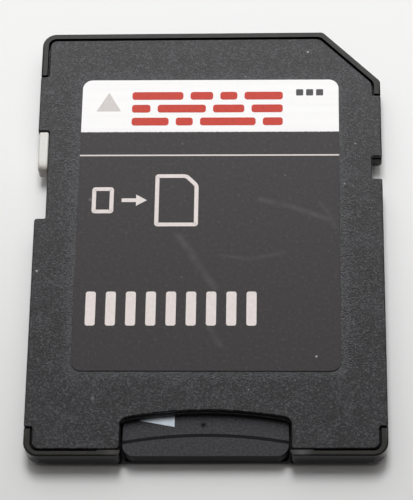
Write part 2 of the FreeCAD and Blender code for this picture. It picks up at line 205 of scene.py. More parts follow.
# %% [markdown]
# The light is soft and comes from beyond the far end. A small softbox high up gives the short soft shadow
# at the rear edge, and a wide one fills it. Black plastic shows hardly any of that light. What it shows is
# reflections: a low panel at the back, which the far edge mirrors best, and a pale ceiling. Two lamps could
# do all of it, but then a change to the shadow would also change the sheen. So the softboxes light only
# matt surfaces, the panels show only in reflections, and each can be set by itself.

# %% Softboxes and panels
# Places and sizes are in metres. A lamp shines along its own -Z, so its Z points away from the card.
KEY_PLACE = (0.0, 0.125, 0.333)
KEY_SIZE = (0.1, 0.13)
KEY_WATTS = 0.755
FILL_PLACE = (0.0, 0.20, 0.55)
FILL_SIZE = (0.9, 0.7)
FILL_WATTS = 1.78
SHEEN_PLACE = (0.0, 0.42, 0.44)
SHEEN_SIZE = (0.8, 0.26)
SHEEN_WATTS = 5.4
CEILING_PLACE = (0.0, 0.125, 0.587)
CEILING_SIZE = (0.8, 0.5)
CEILING_WATTS = 0.6
LAMPS = {
    "key_softbox": (KEY_PLACE, KEY_SIZE, KEY_WATTS, True),
    "fill_softbox": (FILL_PLACE, FILL_SIZE, FILL_WATTS, True),
    "sheen_panel": (SHEEN_PLACE, SHEEN_SIZE, SHEEN_WATTS, False),
    "ceiling_panel": (CEILING_PLACE, CEILING_SIZE, CEILING_WATTS, False),
}
for name, (spot, size, watts, lights_matt) in LAMPS.items():
    bpy.ops.object.light_add(type="AREA", location=spot)
    lamp = bpy.context.object
    lamp.name = name
    lamp.data.shape = "RECTANGLE"
    lamp.data.size, lamp.data.size_y = size
    lamp.data.energy = watts
    lamp.visible_diffuse = lights_matt
    lamp.visible_glossy = not lights_matt
    lamp.rotation_euler = Vector(spot).to_track_quat("Z", "Y").to_euler()
print("lamps:", ", ".join(LAMPS))

# %% Room
ROOM_LEVEL = 0.1
world = bpy.data.worlds.new("pale_room")
world.use_nodes = True
scene.world = world
room = world.node_tree.nodes["Background"]
room.inputs["Color"].default_value = linear("#eee7e2")
room.inputs["Strength"].default_value = ROOM_LEVEL
print("pale light from all sides, at strength", ROOM_LEVEL)

# %% [markdown]
# ## Broken edges
#
# A moulded or stamped edge is never perfectly sharp. It has a tiny round that catches a line of light, and
# without it a model looks cut from paper. The CAD pieces come in as loose triangles, so a copy of each has
# its corners merged and its flat faces joined first. A Bevel modifier then rounds only the edges that turn
# by more than an angle, and Smooth by Angle blends the rounds. A Weighted Normal modifier lets the large
# flats decide how the shading runs into the rounds, so that they stay flat. The copy stands in for the CAD
# piece.

# %% Join flats and break edges
MERGE_MM = 0.0005
FLAT_ANGLE = math.radians(0.5)
EDGE_ANGLE = math.radians(32)
EDGE_STEPS = 2
FLAT_WEIGHT = 100


def pick(piece):
    """Selects one piece alone and makes it active, so that operators act on it and nothing else."""
    bpy.ops.object.select_all(action="DESELECT")
    piece.select_set(True)
    bpy.context.view_layer.objects.active = piece


def join_flats(piece):
    """Merges the corners of loose triangles and joins the triangles of every flat face."""
    pick(piece)
    bpy.ops.mesh.customdata_custom_splitnormals_clear()
    bpy.ops.object.mode_set(mode="EDIT")
    bpy.ops.mesh.select_all(action="SELECT")
    bpy.ops.mesh.remove_doubles(threshold=MERGE_MM * MM)
    bpy.ops.mesh.dissolve_limited(angle_limit=FLAT_ANGLE)
    bpy.ops.object.mode_set(mode="OBJECT")


def break_edges(piece, edge_mm):
    """Rounds the edges of the picked piece and keeps its large faces flat to the eye."""
    rounding = piece.modifiers.new("broken_edges", "BEVEL")
    rounding.width = edge_mm * MM
    rounding.segments = EDGE_STEPS
    rounding.limit_method = "ANGLE"
    rounding.angle_limit = EDGE_ANGLE
    bpy.ops.object.modifier_apply(modifier=rounding.name)
    bpy.ops.object.shade_smooth_by_angle(angle=EDGE_ANGLE)
    flats = piece.modifiers.new("flat_faces", "WEIGHTED_NORMAL")
    flats.mode = "FACE_AREA"
    flats.weight = FLAT_WEIGHT
    flats.keep_sharp = True
    bpy.ops.object.modifier_apply(modifier=flats.name)


print("edges over", round(math.degrees(EDGE_ANGLE)), "degrees are broken")

# %% A finished copy of a CAD piece
BODIES = {empty: name for name, empty in frame["bodies"].items()}
SLOTS = {row["node"]: row["material_slot"] for row in frame["record"]["subparts"]}


def finished_copy(node_name, ending, material, edge_mm):
    """Replaces a CAD node by a copy with softly broken edges, which rides on the same body."""
    node = frame["nodes"][node_name]
    piece = bpy.data.objects.new(f"{node_name}_{ending}", node.data.copy())
    scene.collection.objects.link(piece)
    piece.data.materials.clear()
    piece.data.materials.append(material)
    join_flats(piece)
    break_edges(piece, edge_mm)
    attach(piece, BODIES[node.parent])
    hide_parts(node_name)
    print(piece.name, "has", len(piece.data.polygons), "faces")


# %% [markdown]
# ## Upper cover
#
# The upper cover is moulded in black ABS, from a mould that was spark-eroded. That leaves a fine grain of
# shallow pits, each a little lighter or darker than its neighbours. Sculpting such pits would take millions
# of faces, so a Voronoi texture cuts the surface into cells and gives each a tone of its own, a noise bump
# breaks up the sheen, and a coarser noise makes some areas dustier than others.

# %% Black ABS with a spark-eroded grain
# ABS from such a mould looks dark grey and dull, with a salt-and-pepper sparkle.
# The real pits are about 0.05 mm wide. They are drawn coarser, because a pixel is about 0.07 mm.
GRAIN_MM = 0.09
GRAIN_DEPTH = 0.62
PIT_MM = 0.04
PATCH_MM = 1.3


def eroded_grain(tree, place, clean, depth):
    """Colour, gloss and bump of a spark-eroded surface, paler where it is less clean."""
    cells = add(tree, "ShaderNodeTexVoronoi", {"Vector": place, "Scale": per_metre(GRAIN_MM)})
    chance = add(tree, "ShaderNodeSeparateColor", {"Color": cells.outputs["Color"]})
    patches = add(tree, "ShaderNodeTexNoise",
                  {"Vector": place, "Scale": per_metre(PATCH_MM), "Detail": 4.0, "Roughness": 0.6})
    wiped = add(tree, "ShaderNodeMapRange",
                {"Value": patches.outputs["Fac"], "From Min": 0.35, "From Max": 0.7,
                 "To Min": 5.0, "To Max": 1.8})
    rarity = add(tree, "ShaderNodeMath", {0: wiped.outputs[0], 1: clean}, operation="MULTIPLY")
    tone = add(tree, "ShaderNodeMath",
               {0: chance.outputs["Red"], 1: rarity.outputs[0]},
               operation="POWER")
    colour = add(tree, "ShaderNodeMix",
                 {"Factor": tone.outputs[0], "A": linear("#131315"), "B": linear("#404044")},
                 data_type="RGBA")
    gloss = add(tree, "ShaderNodeMapRange",
                {"Value": patches.outputs["Fac"], "To Min": 0.29, "To Max": 0.37})
    grain = add(tree, "ShaderNodeTexNoise",
                {"Vector": place, "Scale": per_metre(GRAIN_MM), "Detail": 2.0})
    pits = add(tree, "ShaderNodeBump",
               {"Height": grain.outputs["Fac"], "Strength": depth, "Distance": PIT_MM * MM})
    return colour.outputs["Result"], gloss.outputs[0], pits.outputs[0]


print("grain of", GRAIN_MM, "mm, patches of", PATCH_MM, "mm")

# %% [markdown]
# A few bits of lint lie on the cover. They could be tiny meshes, but seen from above each is just a pale
# dot, so a mask of round spots in the material is enough. The same function also makes rubbed places and
# pits further on.

# %% Specks of lint
LINT_COLOUR = "#f0eeec"
COVER_SPECKS = [
    (0.10, 0.55, (6.94, 14.35)),
    (0.10, 0.60, (-11.64, -2.66)),
    (0.09, 0.22, (10.19, 6.97)),
    (0.09, 0.26, (9.38, 3.86)),
    (0.17, 0.13, (-7.51, -11.98)),
    (0.09, 0.18, (2.83, -11.37)),
    (0.09, 0.18, (2.51, 12.38)),
]


def speck_mask(tree, place, specks, tone):
    """Raises a tone at round spots. Each has a reach in mm, a strength and a place in mm."""
    flat = add(tree, "ShaderNodeVectorMath",
               {0: place, 1: (1.0, 1.0, 0.0)},
               operation="MULTIPLY").outputs[0]
    for reach, strength, (x, y) in specks:
        gap = add(tree, "ShaderNodeVectorMath", {0: flat, 1: (x * MM, y * MM, 0.0)}, operation="DISTANCE")
        mark = add(tree, "ShaderNodeMapRange",
                   {"Value": gap.outputs["Value"], "From Min": reach * MM, "From Max": 0.0,
                    "To Max": strength})
        tone = add(tree, "ShaderNodeMath", {0: tone, 1: mark.outputs[0]}, operation="MAXIMUM").outputs[0]
    return tone


print(len(COVER_SPECKS), "specks on the cover")

# %% [markdown]
# Fingers keep most of the cover clean and have worn its pits shallow, but they can't reach the step beside
# the label, so a band of dust and deeper pits is left there. Painting the band would take a picture. A mask
# from the distance to the label's rectangle is exact instead: how far a point lies outside it, sideways and
# lengthways.

# %% Dust beside the label
DUST_REACH = 1.1
DUST_CLEAN = 0.3
label_low, label_high = (Vector(corner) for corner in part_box("front_label"))
label_middle = (label_low + label_high) / 2
label_half = (label_high - label_low) / 2
cover_plastic, tree, place = start_material("black_abs_spark_eroded")
offset = add(tree, "ShaderNodeVectorMath", {0: place, 1: label_middle}, operation="SUBTRACT")
span = add(tree, "ShaderNodeVectorMath", {0: offset.outputs[0]}, operation="ABSOLUTE")
past = add(tree, "ShaderNodeVectorMath", {0: span.outputs[0], 1: label_half}, operation="SUBTRACT")
outside = add(tree, "ShaderNodeVectorMath",
              {0: past.outputs[0], 1: (0.0, 0.0, 0.0)},
              operation="MAXIMUM")
away = add(tree, "ShaderNodeVectorMath", {0: outside.outputs[0]}, operation="LENGTH")
clean = add(tree, "ShaderNodeMapRange",
            {"Value": away.outputs["Value"], "From Max": DUST_REACH * MM, "To Min": DUST_CLEAN},
            interpolation_type="SMOOTHSTEP")
print("dust within", DUST_REACH, "mm of the label")

# %% Cover material
WORN_DEPTH = 0.4
depth = add(tree, "ShaderNodeMapRange",
            {"Value": clean.outputs[0], "From Min": DUST_CLEAN,
             "To Min": GRAIN_DEPTH, "To Max": WORN_DEPTH})
colour, gloss, pits = eroded_grain(tree, place, clean.outputs[0], depth.outputs[0])
lint = add(tree, "ShaderNodeMix",
           {"Factor": speck_mask(tree, place, COVER_SPECKS, 0.0), "A": colour, "B": linear(LINT_COLOUR)},
           data_type="RGBA")
surface = add(tree, "ShaderNodeBsdfPrincipled",
              {"Base Color": lint.outputs["Result"], "IOR": 1.53, "Specular IOR Level": 0.2,
               "Roughness": gloss, "Normal": pits})
end_material(tree, surface)
print(cover_plastic.name, "has", len(tree.nodes), "nodes")

# %% Upper cover
COVER_EDGE = 0.02
finished_copy("upper_cover", "moulding", cover_plastic, COVER_EDGE)

# %% [markdown]
# ## Lower cover
#
# The lower cover carries the rim that shows round both ends of the upper one, the rails, and the comb of
# contact windows. Its underside has the grain of the upper cover. Its walls were drawn along the steel as
# the mould opened, which left them smooth, and their near-black colour is painted shade. So is the dark
# colour of the rim's rounded outer edge. The top of the rim is a satin, with pale spots of painted
# highlight on its rounded ends on both sides of the slot.
# Three materials on one piece would leave hard borders, so one material mixes them by height.

# %% Heights on the lower cover
GRAIN_BELOW = 0.02
DRAWN_SHADE_FROM = 0.08
DRAWN_SHADE_TO = 2.02
SATIN_ABOVE = 2.07
rim_plastic, tree, place = start_material("black_abs_satin")
height = add(tree, "ShaderNodeSeparateXYZ", {"Vector": place}).outputs["Z"]
depth = add(tree, "ShaderNodeMapRange",
            {"Value": height, "From Min": GRAIN_BELOW * MM, "From Max": DRAWN_SHADE_FROM * MM,
             "To Min": GRAIN_DEPTH, "To Max": 0.0})
on_wall = add(tree, "ShaderNodeMapRange",
              {"Value": height, "From Min": GRAIN_BELOW * MM, "From Max": DRAWN_SHADE_FROM * MM}).outputs[0]
# Just below the satin top lies the rim's rounded outer edge, which takes in part the walls' painted shade.
on_rim = add(tree, "ShaderNodeMapRange",
             {"Value": height, "From Min": DRAWN_SHADE_TO * MM, "From Max": SATIN_ABOVE * MM}).outputs[0]
print("drawn walls from z", DRAWN_SHADE_FROM, "to", DRAWN_SHADE_TO, "mm, satin above", SATIN_ABOVE, "mm")

# %% Colours of the lower cover
# The satin gives a soft, slightly wavy highlight along the rim. The walls below it are painted a deep, even
# black, which is painted shade.
RIPPLE_MM = 0.5
PAINTED_HIGHLIGHT_ENDS = [(0.75, 0.35, (-6.15, -15.8)), (0.75, 0.75, (6.3, -15.78))]
grain_colour, grain_gloss, pits = eroded_grain(tree, place, 1.0, depth.outputs[0])
ripple = add(tree, "ShaderNodeTexNoise",
             {"Vector": place, "Scale": per_metre(RIPPLE_MM), "Detail": 4.0}).outputs["Fac"]
# Painted shade: the near-black of the walls and of the rim's rounded outer edge.
drawn_and_shaded = add(tree, "ShaderNodeMix",
            {"Factor": ripple, "A": linear("#050506"), "B": linear("#0c0c0e")},
            data_type="RGBA")
satin = add(tree, "ShaderNodeMix",
            {"Factor": ripple, "A": linear("#1b1a19"), "B": linear("#2c2b29")},
            data_type="RGBA")
# Painted highlight: pale spots on the rounded rim ends beside the slot.
painted_highlight = add(tree, "ShaderNodeMix",
             {"Factor": speck_mask(tree, place, PAINTED_HIGHLIGHT_ENDS, 0.0), "A": satin.outputs["Result"],
              "B": linear("#545353")},
             data_type="RGBA")
low = add(tree, "ShaderNodeMix",
          {"Factor": on_wall, "A": grain_colour, "B": drawn_and_shaded.outputs["Result"]},
          data_type="RGBA")
tint = add(tree, "ShaderNodeMix",
           {"Factor": on_rim, "A": low.outputs["Result"], "B": painted_highlight.outputs["Result"]},
           data_type="RGBA")
print("ripples of", RIPPLE_MM, "mm and", len(PAINTED_HIGHLIGHT_ENDS), "rubbed ends")

# %% Gloss of the lower cover
WAVE_MM = 0.04
waves = add(tree, "ShaderNodeBump",
            {"Height": ripple, "Strength": 0.25, "Distance": WAVE_MM * MM, "Normal": pits})
satin_gloss = add(tree, "ShaderNodeMapRange", {"Value": ripple, "To Min": 0.28, "To Max": 0.36})
low_gloss = add(tree, "ShaderNodeMix", {"Factor": on_wall, "A": grain_gloss, "B": 0.11})
gloss = add(tree, "ShaderNodeMix",
            {"Factor": on_rim, "A": low_gloss.outputs[0], "B": satin_gloss.outputs[0]})
surface = add(tree, "ShaderNodeBsdfPrincipled",
              {"Base Color": tint.outputs["Result"], "IOR": 1.53, "Specular IOR Level": 0.15,
               "Roughness": gloss.outputs[0], "Normal": waves.outputs[0]})
end_material(tree, surface)
print(rim_plastic.name, "has", len(tree.nodes), "nodes")

# %% Lower cover
RIM_EDGE = 0.06
finished_copy("lower_cover", "moulding", rim_plastic, RIM_EDGE)

# %% [markdown]
# ## Label film
#
# The label is a die-cut film, printed with a white band, a dark grey field and one pale line across it.
# Fields that run straight across the film are cheapest as masks in its material: a position along the film
# is compared with the place of an edge. The label was laid on by hand, a quarter of a degree out of true,
# so the coordinates are turned back by that angle first, and the print then follows the film's own edges.

# %% Place on the print
# Matt film looks even and soft, a little smoother than the plastic round it. Its white shows the faint
# lines that the print head leaves, and its dark field a slight mottling. Both are drawn coarser than they
# are, so that they show.
LABEL_TURN = math.radians(-0.25)
MOTTLE_MM = 0.22
label_film, tree, place = start_material("printed_polypropylene_film")
print_place = add(tree, "ShaderNodeMapping",
                  {"Vector": place, "Rotation": (0.0, 0.0, -LABEL_TURN)}).outputs[0]
along = add(tree, "ShaderNodeSeparateXYZ", {"Vector": print_place}).outputs["Y"]
mottle = add(tree, "ShaderNodeTexNoise",
             {"Vector": print_place, "Scale": per_metre(MOTTLE_MM), "Detail": 3.0}).outputs["Fac"]
print("the label is turned by", round(math.degrees(LABEL_TURN), 2), "degrees")

# %% Dark field and pale line
LINE_PLACE = 6.09
LINE_HALF = 0.055
in_line = add(tree, "ShaderNodeMath",
              {0: along, 1: LINE_PLACE * MM, 2: LINE_HALF * MM},
              operation="COMPARE")
dark = add(tree, "ShaderNodeMix",
           {"Factor": mottle, "A": linear("#121010"), "B": linear("#2d2829")},
           data_type="RGBA")
lined = add(tree, "ShaderNodeMix",
            {"Factor": in_line.outputs[0], "A": dark.outputs["Result"], "B": linear("#d8d0cd")},
            data_type="RGBA")
print("pale line at y", LINE_PLACE, "mm")

# %% White band
BAND_EDGE = 7.93
BAND_WOBBLE = 0.04
INK_EDGE = 0.03
HEAD_STEP_MM = 0.3
HEAD_STRETCH = 0.03
shift = add(tree, "ShaderNodeMapRange",
            {"Value": mottle, "To Min": -BAND_WOBBLE * MM, "To Max": BAND_WOBBLE * MM})
ragged = add(tree, "ShaderNodeMath", {0: along, 1: shift.outputs[0]}, operation="ADD")
in_band = add(tree, "ShaderNodeMapRange",
              {"Value": ragged.outputs[0], "From Min": (BAND_EDGE - INK_EDGE) * MM,
               "From Max": (BAND_EDGE + INK_EDGE) * MM})
across = add(tree, "ShaderNodeMapping",
             {"Vector": print_place, "Scale": (HEAD_STRETCH, 1.0, 1.0)}).outputs[0]
passes = add(tree, "ShaderNodeTexNoise",
             {"Vector": across, "Scale": per_metre(HEAD_STEP_MM), "Detail": 2.0})
white = add(tree, "ShaderNodeMix",
            {"Factor": passes.outputs["Fac"], "A": linear("#f3f2f2"), "B": linear("#ffffff")},
            data_type="RGBA")
fields = add(tree, "ShaderNodeMix",
             {"Factor": in_band.outputs[0], "A": lined.outputs["Result"], "B": white.outputs["Result"]},
             data_type="RGBA")
print("white band ends at y", BAND_EDGE, "mm")

# %% Cut edge of the film
# Print lies on top of the film only, so its cut edge is bare. Its pale grey is partly painted light, which
# lifts the edge out of the shade it lies in. A mask by height finds it.
EDGE_DEPTH = 0.02
height = add(tree, "ShaderNodeSeparateXYZ", {"Vector": place}).outputs["Z"]
inked = add(tree, "ShaderNodeMapRange",
            {"Value": height, "From Min": label_high.z - EDGE_DEPTH * MM,
             "From Max": label_high.z - EDGE_DEPTH * MM / 2})
printed = add(tree, "ShaderNodeMix",
              {"Factor": inked.outputs[0], "A": linear("#b5b1b1"), "B": fields.outputs["Result"]},
              data_type="RGBA")
print("the film is bare", EDGE_DEPTH, "mm below its face")

# %% [markdown]
# The label has been in and out of many pockets. Long faint scratches cross the dark field, and a few bits
# of lint stick to it. A scratch is a line through a few points: for every stretch of it, vector maths finds
# the nearest point of the stretch, and how far that is away says how worn the film is. A noise makes it
# skip.

# %% Distance to the scratches
# Each scratch has a reach in mm, a strength and points in mm.
SCRATCHES = [
    (0.40, 0.046, [(-1.99, -0.12), (-1.27, -1.19), (-0.5, -2.5), (0.53, -4.0)]),
    (0.34, 0.036, [(0.23, -6.9), (0.91, -8.21)]),
    (0.30, 0.040, [(3.56, 2.66), (5.62, 2.12), (8.49, 1.03)]),
    (0.26, 0.034, [(7.68, 2.41), (8.29, 1.56), (8.69, 0.5)]),
    (0.22, 0.026, [(0.85, -1.57), (2.89, -1.88), (5.27, -1.37)]),
]
flat = add(tree, "ShaderNodeVectorMath",
           {0: print_place, 1: (1.0, 1.0, 0.0)},
           operation="MULTIPLY").outputs[0]
scratch_gaps = []
for reach, strength, points in SCRATCHES:
    for (x, y), (next_x, next_y) in zip(points, points[1:]):
        run = Vector((next_x - x, next_y - y, 0.0)) * MM
        offset = add(tree, "ShaderNodeVectorMath",
                     {0: flat, 1: (x * MM, y * MM, 0.0)},
                     operation="SUBTRACT")
        share = add(tree, "ShaderNodeVectorMath",
                    {0: offset.outputs[0], 1: run / run.length_squared},
                    operation="DOT_PRODUCT")
        held = add(tree, "ShaderNodeClamp", {"Value": share.outputs["Value"]})
        foot = add(tree, "ShaderNodeVectorMath", {0: run, "Scale": held.outputs[0]}, operation="SCALE")
        gap = add(tree, "ShaderNodeVectorMath",
                  {0: offset.outputs[0], 1: foot.outputs[0]},
                  operation="DISTANCE")
        scratch_gaps.append((reach, strength, gap))
print(len(SCRATCHES), "scratches in", len(scratch_gaps), "stretches")

# %% Wear and lint on the film
RUB_MM = 1.1
LABEL_SPECKS = [
    (0.09, 0.75, (7.38, -9.02)),
    (0.05, 0.35, (-1.89, 6.98)),
    (0.05, 0.30, (5.28, 4.51)),
    (0.05, 0.30, (-1.72, -3.21)),
    (0.16, 0.12, (-8.17, 2.66)),
]
rubbing = add(tree, "ShaderNodeTexNoise",
              {"Vector": print_place, "Scale": per_metre(RUB_MM), "Detail": 3.0})
skips = add(tree, "ShaderNodeMapRange",
            {"Value": rubbing.outputs["Fac"], "From Min": 0.2, "From Max": 0.75})
wear = add(tree, "ShaderNodeMapRange",
           {"Value": mottle, "From Min": 0.6, "From Max": 1.0, "To Max": 0.05}).outputs[0]
for reach, strength, gap in scratch_gaps:
    mark = add(tree, "ShaderNodeMapRange",
               {"Value": gap.outputs["Value"], "From Min": reach * MM, "From Max": 0.0,
                "To Max": strength})
    broken = add(tree, "ShaderNodeMath", {0: mark.outputs[0], 1: skips.outputs[0]}, operation="MULTIPLY")
    wear = add(tree, "ShaderNodeMath", {0: wear, 1: broken.outputs[0]}, operation="MAXIMUM").outputs[0]
wear = speck_mask(tree, print_place, LABEL_SPECKS, wear)
print(len(LABEL_SPECKS), "specks on the film")

# %% Film material
worn = add(tree, "ShaderNodeMix",
           {"Factor": wear, "A": printed.outputs["Result"], "B": linear(LINT_COLOUR)},
           data_type="RGBA")
surface = add(tree, "ShaderNodeBsdfPrincipled",
              {"Base Color": worn.outputs["Result"], "IOR": 1.49, "Specular IOR Level": 0.24,
               "Roughness": 0.42})
end_material(tree, surface)
print(label_film.name, "has", len(tree.nodes), "nodes")

# %% Label
LABEL_EDGE = 0.015
finished_copy("front_label", "film", label_film, LABEL_EDGE)

# %% [markdown]
# ## Signs on the label
#
# The small signs lie on the film as screen-printed ink: red dashes, a grey arrow for the end that goes in
# first, three dark squares, and pale signs on the dark field. Those show a small card going into a large
# one, and the nine contacts of the large one. A picture on the film would be quick, but flat shapes stay
# sharp from near by.

# %% Screen inks
# Screen ink looks flat and a little blotchy, because the screen lets more through here and there.
# A real screen has threads every 0.1 mm. Its blotches are drawn at three times that, so that they show.
BLOTCH_MM = 0.3
INK_TONES = {
    "red_screen_ink": ("#b51a03", "#d2310c"),
    "grey_screen_ink": ("#c6c0be", "#dad4d2"),
    "dark_screen_ink": ("#2c2b2c", "#4a494a"),
    "pale_screen_ink": ("#d6cbc8", "#eae2df"),
    "blue_grey_screen_ink": ("#b4bec9", "#ccd5df"),
}
inks = {}
for name, (deep, thin) in INK_TONES.items():
    inks[name], tree, place = start_material(name)
    blotch = add(tree, "ShaderNodeTexNoise",
                 {"Vector": place, "Scale": per_metre(BLOTCH_MM), "Detail": 3.0}).outputs["Fac"]
    tint = add(tree, "ShaderNodeMix",
               {"Factor": blotch, "A": linear(deep), "B": linear(thin)},
               data_type="RGBA")
    gloss = add(tree, "ShaderNodeMapRange", {"Value": blotch, "To Min": 0.38, "To Max": 0.52})
    surface = add(tree, "ShaderNodeBsdfPrincipled",
                  {"Base Color": tint.outputs["Result"], "IOR": 1.49, "Specular IOR Level": 0.26,
                   "Roughness": gloss.outputs[0]})
    end_material(tree, surface)
print("inks:", ", ".join(inks))

# %% [markdown]
# Each sign starts as a plane of its size at its place. Its corners are rounded by a bevel of its vertices,
# and a hollow sign is inset and loses its middle. An arrow starts as a circle of three points. Signs of one
# kind are joined while they are flat, and one extrusion then gives them all their thickness.

# %% A flat sign
CORNER_STEPS = 4


def select_corners(piece, test):
    """Selects the vertices whose place in mm passes a test, and stays in edit mode."""
    bpy.ops.object.mode_set(mode="EDIT")
    bpy.ops.mesh.select_mode(type="VERT")
    bpy.ops.mesh.select_all(action="DESELECT")
    bpy.ops.object.mode_set(mode="OBJECT")
    for vertex in piece.data.vertices:
        vertex.select = test(vertex.co / MM)
    bpy.ops.object.mode_set(mode="EDIT")


def flat_sign(x, y, width, height, corner, cut=0.0, line=0.0):
    """A flat rounded rectangle. A cut takes its right front corner off, and a line leaves it hollow."""
    bpy.ops.object.select_all(action="DESELECT")
    bpy.ops.mesh.primitive_plane_add(size=MM, location=(x * MM, y * MM, 0.0))
    sign = bpy.context.object
    sign.scale = (width, height, 1.0)
    bpy.ops.object.transform_apply(location=True, rotation=True, scale=True)
    if cut:
        select_corners(sign, lambda spot: spot.x > x and spot.y > y)
        bpy.ops.mesh.bevel(offset=cut * MM, segments=1, affect="VERTICES")
    select_corners(sign, lambda spot: True)
    bpy.ops.mesh.bevel(offset=corner * MM, segments=CORNER_STEPS, affect="VERTICES")
    if line:
        bpy.ops.mesh.select_all(action="SELECT")
        bpy.ops.mesh.inset(thickness=line * MM)
        bpy.ops.mesh.delete(type="FACE")
    bpy.ops.object.mode_set(mode="OBJECT")
    return sign


print("corners of signs have", CORNER_STEPS, "steps")

# %% A flat arrow
ARROW_POINTS = 3


def flat_arrow(x, y, radius, turn):
    """A flat triangle with equal sides that points along +Y before it is turned."""
    bpy.ops.object.select_all(action="DESELECT")
    bpy.ops.mesh.primitive_circle_add(vertices=ARROW_POINTS, radius=radius * MM, fill_type="NGON",
                                      location=(x * MM, y * MM, 0.0), rotation=(0.0, 0.0, turn))
    bpy.ops.object.transform_apply(location=True, rotation=True, scale=True)
    return bpy.context.object


print("arrows have", ARROW_POINTS, "points")

# %% A piece of ink
# Real ink is about 0.006 mm thick. It is drawn at twice that, and sunk into its surface, so that it never
# flickers.
INK_RISE = 0.012
INK_SINK = 0.02
ON_LABEL = (label_high.z, "shell", "label_film", LABEL_TURN)


def ink_piece(name, signs, ink, level, body, slot_name, turn):
    """Joins flat signs into one piece of ink with a thickness, on a surface at this level."""
    pick(signs[0])
    for sign in signs:
        sign.select_set(True)
    if len(signs) > 1:
        bpy.ops.object.join()
    piece = bpy.context.object
    piece.name = name
    piece.rotation_euler.z = turn
    piece.location.z = level - INK_SINK * MM
    bpy.ops.object.transform_apply(location=True, rotation=True, scale=True)
    bpy.ops.object.mode_set(mode="EDIT")
    bpy.ops.mesh.select_all(action="SELECT")
    thickness = (INK_SINK + INK_RISE) * MM
    bpy.ops.mesh.extrude_region_move(TRANSFORM_OT_translate={"value": (0.0, 0.0, thickness)})
    bpy.ops.mesh.select_all(action="SELECT")
    bpy.ops.mesh.normals_make_consistent(inside=False)
    bpy.ops.object.mode_set(mode="OBJECT")
    piece.data.materials.append(ink)
    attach(piece, body)
    print(name, "has", len(piece.data.polygons), "faces")


print("ink stands", INK_RISE, "mm proud")

# %% Red dashes
# Each row has its place along the label and the lengths of its dashes, in mm.
DASH_ROWS = {8.75: [2.6, 1.2, 3.9, 1.4], 9.78: [1.3, 3.4, 2.2, 2.2], 10.8: [3.6, 1.6, 1.2, 2.7]}
DASH_HEIGHT = 0.62
DASH_GAP = 0.5
DASH_CORNER = 0.2
DASHES_START = -5.5
dashes = []
for row, lengths in DASH_ROWS.items():
    start = DASHES_START
    for length in lengths:
        dashes.append(flat_sign(start + length / 2, row, length, DASH_HEIGHT, DASH_CORNER))
        start += length + DASH_GAP
ink_piece("red_ink_dashes", dashes, inks["red_screen_ink"], *ON_LABEL)

# %% Grey arrow
ARROW_SIDE = 1.72
ARROW_PLACE = (-7.14, 10.08)
arrow = flat_arrow(*ARROW_PLACE, ARROW_SIDE / math.sqrt(3), 0.0)
ink_piece("grey_ink_arrow", [arrow], inks["grey_screen_ink"], *ON_LABEL)

# %% Dark squares
SQUARE_SIDE = 0.5
SQUARE_CORNER = 0.06
SQUARE_PLACES = [6.28, 6.98, 7.68]
SQUARE_ROW = 11.05
squares = [flat_sign(x, SQUARE_ROW, SQUARE_SIDE, SQUARE_SIDE, SQUARE_CORNER) for x in SQUARE_PLACES]
ink_piece("dark_ink_squares", squares, inks["dark_screen_ink"], *ON_LABEL)

# %% A small card goes into a large one
SIGN_ROW = 2.6
SIGN_LINE = 0.28
SIGN_CORNER = 0.22
SMALL_PLACE = -7.3
SMALL_SIZE = (1.5, 2.0)
SHAFT_PLACE = -5.5
SHAFT_LENGTH = 1.0
SHAFT_CORNER = 0.05
HEAD_PLACE = -4.75
HEAD_RADIUS = 0.5
LARGE_PLACE = -2.2
LARGE_SIZE = (3.0, 4.0)
LARGE_CUT = 0.8
pale_signs = [
    flat_sign(SMALL_PLACE, SIGN_ROW, *SMALL_SIZE, SIGN_CORNER, line=SIGN_LINE),
    flat_sign(SHAFT_PLACE, SIGN_ROW, SHAFT_LENGTH, SIGN_LINE, SHAFT_CORNER),
    flat_arrow(HEAD_PLACE, SIGN_ROW, HEAD_RADIUS, -math.pi / 2),
    flat_sign(LARGE_PLACE, SIGN_ROW, *LARGE_SIZE, SIGN_CORNER, cut=LARGE_CUT, line=SIGN_LINE),
]
ink_piece("pale_ink_pictogram", pale_signs, inks["pale_screen_ink"], *ON_LABEL)

# %% Comb of nine contacts
COMB_BARS = 9
COMB_START = -7.85
COMB_PITCH = 1.36
COMB_ROW = -5.55
BAR_WIDTH = 0.68
BAR_HEIGHT = 2.5
BAR_CORNER = 0.16
bars = [flat_sign(COMB_START, COMB_ROW, BAR_WIDTH, BAR_HEIGHT, BAR_CORNER)]
for step in range(1, COMB_BARS):
    pick(bars[-1])
    bpy.ops.object.duplicate_move(TRANSFORM_OT_translate={"value": (COMB_PITCH * MM, 0.0, 0.0)})
    bars.append(bpy.context.object)
ink_piece("pale_ink_comb", bars, inks["pale_screen_ink"], *ON_LABEL)

# %% [markdown]
# ## Lock switch
#
# The switch is a white acetal slider, which turns greyer and browner in patches towards its rear end. That
# could be painted on as a picture, but a noise that fades in towards the rear end is quicker and has no
# border.

# %% White acetal
# Acetal looks slightly waxy: an off-white with a soft, broad sheen.
REAR_GREY_START = 5.9
REAR_GREY_END = 5.2
SMUDGE_MM = 0.25
switch_plastic, tree, place = start_material("white_acetal")
along = add(tree, "ShaderNodeSeparateXYZ", {"Vector": place}).outputs["Y"]
grey_patches = add(tree, "ShaderNodeTexNoise", {"Vector": place, "Scale": per_metre(SMUDGE_MM), "Detail": 3.0})
rear = add(tree, "ShaderNodeMapRange",
           {"Value": along, "From Min": REAR_GREY_START * MM, "From Max": REAR_GREY_END * MM})
